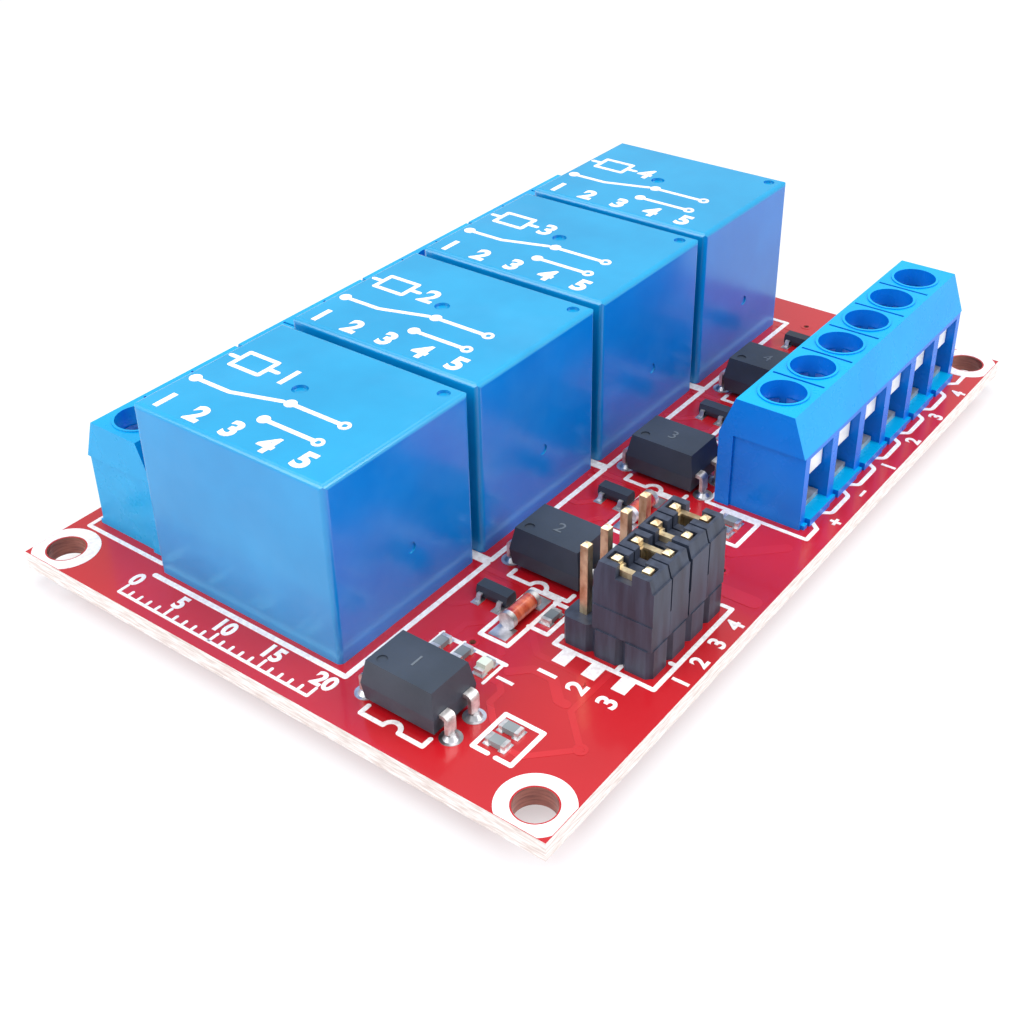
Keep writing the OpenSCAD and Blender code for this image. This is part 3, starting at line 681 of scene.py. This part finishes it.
pad_t = 0.035 * mm
lead_dx, lead_dy = 1.27 * mm, 3.81 * mm
pad_hole, pad_out = 0.35 * mm, 0.85 * mm
land_x, land_y = 0.3 * mm, 0.25 * mm
diode_land, diode_land_x = (1.5 * mm, 1.6 * mm), 2.15 * mm
transistor_land = 1.0 * mm, 0.75 * mm
bm = bmesh.new()
for i in channels:
    low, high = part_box(f"isolator_{i}")
    centre = (low + high) / 2
    for sx in (-1, 1):
        for sy in (-1, 1):
            ring(bm, (centre.x + sx * lead_dx, centre.y + sy * lead_dy), pad_hole, pad_out, pad_t,
                 segments=24)
for centre, half in islands("chip_ends") + islands("led_ends"):
    block(bm, centre, (2 * half.x + land_x, 2 * half.y + land_y), pad_t)
for centre, half in islands("diode_glass"):
    for sx in (-1, 1):
        block(bm, (centre.x + sx * diode_land_x, centre.y), diode_land, pad_t)
for centre, half in islands("transistor_leads"):
    block(bm, centre, transistor_land, pad_t)
finish_mesh("pads", bm, solder)


# ---- relays: deep blue cases moulded in a glossy plastic over a black base. What faces up or sideways
# takes a paler range, painted light tuned to match the look and not a known trait of the plastic. The
# print on top is a plain contact diagram and its figures.

def moulding(name, side, top, roughness, texture=420, strength=0.06, gloss=0.5, flank=0, scuff=None):
    """Plastic with a faint mottle. The top range is for what faces up and, by flank, left or right; where it
    is paler, as on the relays and terminals, it is painted light.
    """
    material, nodes, links, shader = new_material(name)
    shader.inputs["Specular IOR Level"].default_value = gloss
    cloud = add_noise(nodes, links, 120)
    spot, facing = place_and_facing(nodes, links)
    # What faces up or, by flank, sideways takes the top range: painted light where that range is paler.
    upward = calculate(nodes, links, "MULTIPLY", facing["Z"], 2.2)
    sideways = calculate(nodes, links, "MULTIPLY", calculate(nodes, links, "ABSOLUTE", facing["X"]), flank)
    painted_light = calculate(nodes, links, "MAXIMUM", upward, sideways)
    colour = mix_colours(nodes, links, painted_light, blend_colours(nodes, links, cloud, *side),
                         blend_colours(nodes, links, cloud, *top))
    if scuff:
        worn = blend_colours(nodes, links, add_noise(nodes, links, 90, detail=4),
                             srgb(0, 0, 0), srgb(90, 90, 90), 0.5, 0.78)
        colour = mix_colours(nodes, links, worn, colour, scuff)
    links.new(colour, shader.inputs["Base Color"])
    grain = add_noise(nodes, links, texture)
    add_roughness(nodes, links, grain, shader, roughness - 0.05, roughness + 0.08)
    add_bump(nodes, links, grain, shader, strength, 0.00003)
    return material


# The top range is the sides' blue made paler and more cyan: painted light on what faces up and, by flank, to
# the ends.
relay_sides, relay_painted_light = (srgb(0, 110, 196), srgb(2, 120, 206)), (srgb(0, 142, 192), srgb(6, 152, 202))
relay_blue = moulding("relay blue", relay_sides, relay_painted_light, 0.19, gloss=0.8, flank=0.65,
                      scuff=srgb(120, 190, 236))
black = srgb(26, 26, 28), srgb(38, 38, 40)
base_black = moulding("base black", black, black, 0.6)
for i in channels:
    paint(f"relay_case_{i}", relay_blue)
    paint(f"relay_base_{i}", base_black)

stroke, dot_inner, dot_outer, dot_t = 0.42 * mm, 0.24 * mm, 0.52 * mm, 0.05 * mm
channel_figure, contact_figure = 2.1 * mm, 1.9 * mm
bm = bmesh.new()
prints = []
for i in channels:
    low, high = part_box(f"relay_case_{i}")
    head, start, lid = low.x + 11 * mm, high.y, high.z

    def spot_at(down, along):
        """Point of the print: down from its head to the left, along its lines, both in millimetres."""
        return (head - down * mm, start - along * mm)

    # The coil's box and its two leads, then the moving arm and the two fixed contacts.
    for line in (((0.6, 1.7), (0.6, 4.7), (2.8, 4.7), (2.8, 1.7), (0.6, 1.7)), ((1.7, 0.7), (1.7, 1.7)),
                 ((1.7, 4.7), (1.7, 5.7)), ((5.8, 1.2), (5.8, 4.8), (4.5, 9.0)), ((4.4, 9.7), (4.4, 14.6)),
                 ((7.1, 9.7), (7.1, 14.6))):
        path(bm, [spot_at(*point) for point in line], stroke, ink_t, lid)
    for down, along in ((5.8, 1.2), (4.4, 9.7), (7.1, 9.7), (4.4, 15), (7.1, 15)):
        ring(bm, spot_at(down, along), dot_inner, dot_outer, dot_t, lid, 20)
    prints.append(numeral(str(i), spot_at(1.7, 6.9), channel_figure, -90, lid))
    for figure, along in zip("12345", (1.8, 5.3, 8.8, 12.3, 15.8)):
        prints.append(numeral(figure, spot_at(9.3, along), contact_figure, -90, lid, 0.06))
finish_mesh("relay_diagrams", bm, ink)
join_meshes("relay_numbers", prints, ink)


# ---- screw terminals: bodies moulded in one piece in a brighter blue than the relays, which stand on
# the board by their contact pins. Their paler top range is painted light. The output blocks have more
# gloss and much more of that painted light at their ends, tuned in the same way, though both kinds are
# probably one plastic.

# The top range is the sides' blue made paler and more cyan: painted light on what faces up and, by flank, to
# the ends.
terminal_sides, terminal_painted_light = (srgb(0, 104, 208), srgb(0, 114, 218)), (srgb(0, 156, 212), srgb(0, 166, 222))
input_blue = moulding("input terminal blue", terminal_sides, terminal_painted_light, 0.26, gloss=0.3, flank=0.1)
output_blue = moulding("output terminal blue", terminal_sides, terminal_painted_light, 0.26, gloss=0.4, flank=0.95)
paint("input_terminal_body", input_blue)
for i in channels:
    paint(f"output_terminal_body_{i}", output_blue)


# ---- isolators, transistors, chips, lamps and diodes: matte black packages, glazed grey chips,
# milky lamp lenses and red glass diodes, each soldered to the deck.

package_black = srgb(36, 42, 54), srgb(54, 61, 74)
package = moulding("moulded package", package_black, (srgb(40, 48, 58), srgb(54, 62, 74)), 0.5,
                   texture=2600, strength=0.3)
for i in channels:
    paint(f"isolator_{i}", package)
    paint(f"transistor_{i}", package)
chip_grey = srgb(100, 108, 112), srgb(150, 156, 158)
paint("chip_bodies", moulding("chip glaze", chip_grey, chip_grey, 0.3))
lens_white = srgb(214, 222, 206), srgb(240, 242, 232)
paint("led_bodies", moulding("milky lens", lens_white, lens_white, 0.3))

glass, nodes, links, shader = new_material("diode glass")
inside = add_noise(nodes, links, 900, stretch=(1.6, 0.5, 0.5))
links.new(blend_colours(nodes, links, inside, srgb(166, 26, 18), srgb(232, 122, 84)),
          shader.inputs["Base Color"])
add_roughness(nodes, links, inside, shader, 0.06, 0.16)
shader.inputs["Coat Weight"].default_value = 0.8
paint("diode_glass", glass)

# Marks: the channel's number, faint grey, on each isolator.
mark_grey = srgb(74, 82, 92), srgb(98, 106, 114)
mark = moulding("grey mark", mark_grey, mark_grey, 0.6)
mark_figure = 1.15 * mm
marks = []
for i in channels:
    low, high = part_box(f"isolator_{i}")
    middle = (low + high) / 2
    marks.append(numeral(str(i), middle, mark_figure, -90, high.z, 0))
join_meshes("isolator_marks", marks, mark)


# ---- jumper block: a header soldered to the board by its pins, and four push-on caps. All are in one
# dark slate plastic with faint streaks along its height.

slate, nodes, links, shader = new_material("jumper slate")
streak = add_noise(nodes, links, 1500, detail=5, stretch=(1, 1, 0.12))
links.new(blend_colours(nodes, links, streak, srgb(38, 44, 60), srgb(58, 66, 84)),
          shader.inputs["Base Color"])
add_roughness(nodes, links, streak, shader, 0.36, 0.56)
add_bump(nodes, links, streak, shader, 0.35, 0.00003)
paint("header_base", slate)
for i in channels:
    paint(f"jumper_cap_{i}", slate)

visual_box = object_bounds()
[[list(corner) for corner in box] for box in (cad_box, visual_box)]
